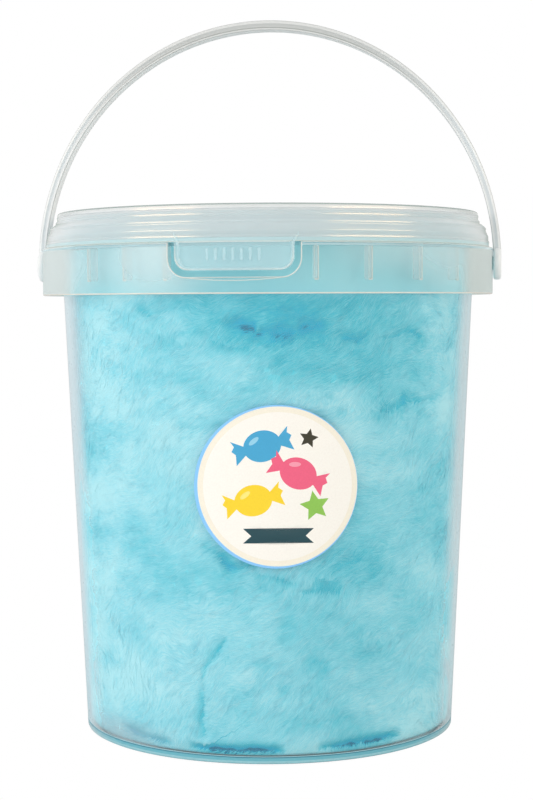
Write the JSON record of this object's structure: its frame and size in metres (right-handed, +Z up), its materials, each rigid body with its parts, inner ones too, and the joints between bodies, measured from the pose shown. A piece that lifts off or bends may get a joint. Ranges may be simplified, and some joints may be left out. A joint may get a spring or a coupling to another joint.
{
  "type": "cotton candy tub",
  "caption": "Round see-through tub filled with pale blue cotton candy, with a press-on lid with a pull tab, a bail handle that swings over the lid, and a round label.",
  "frame": {"origin": "centre of the base, on the surface that the tub stands on", "axes": "+Z up, -Y towards the lid's pull tab, X along the handle's hinge line"},
  "size_m": [0.1386, 0.133, 0.2083],
  "materials": {
    "tub_plastic": "translucent polypropylene, satin",
    "lid_plastic": "translucent polypropylene, slightly milky",
    "handle_plastic": "translucent polypropylene",
    "candy_floss": "fine spun sugar fibres, matt",
    "label_paper": "satin printed sticker"
  },
  "bodies": {
    "tub": {"tub": "tub_plastic", "lid": "lid_plastic", "cotton_candy": "candy_floss", "label": "label_paper"},
    "handle": {"handle": "handle_plastic"}
  },
  "joints": [
    {"name": "handle_hinge", "type": "hinge", "parent": "tub", "child": "handle", "pos_m": [0, 0, 0.1365], "axis": [1, 0, 0], "range_deg": [-100, 100]}
  ]
}
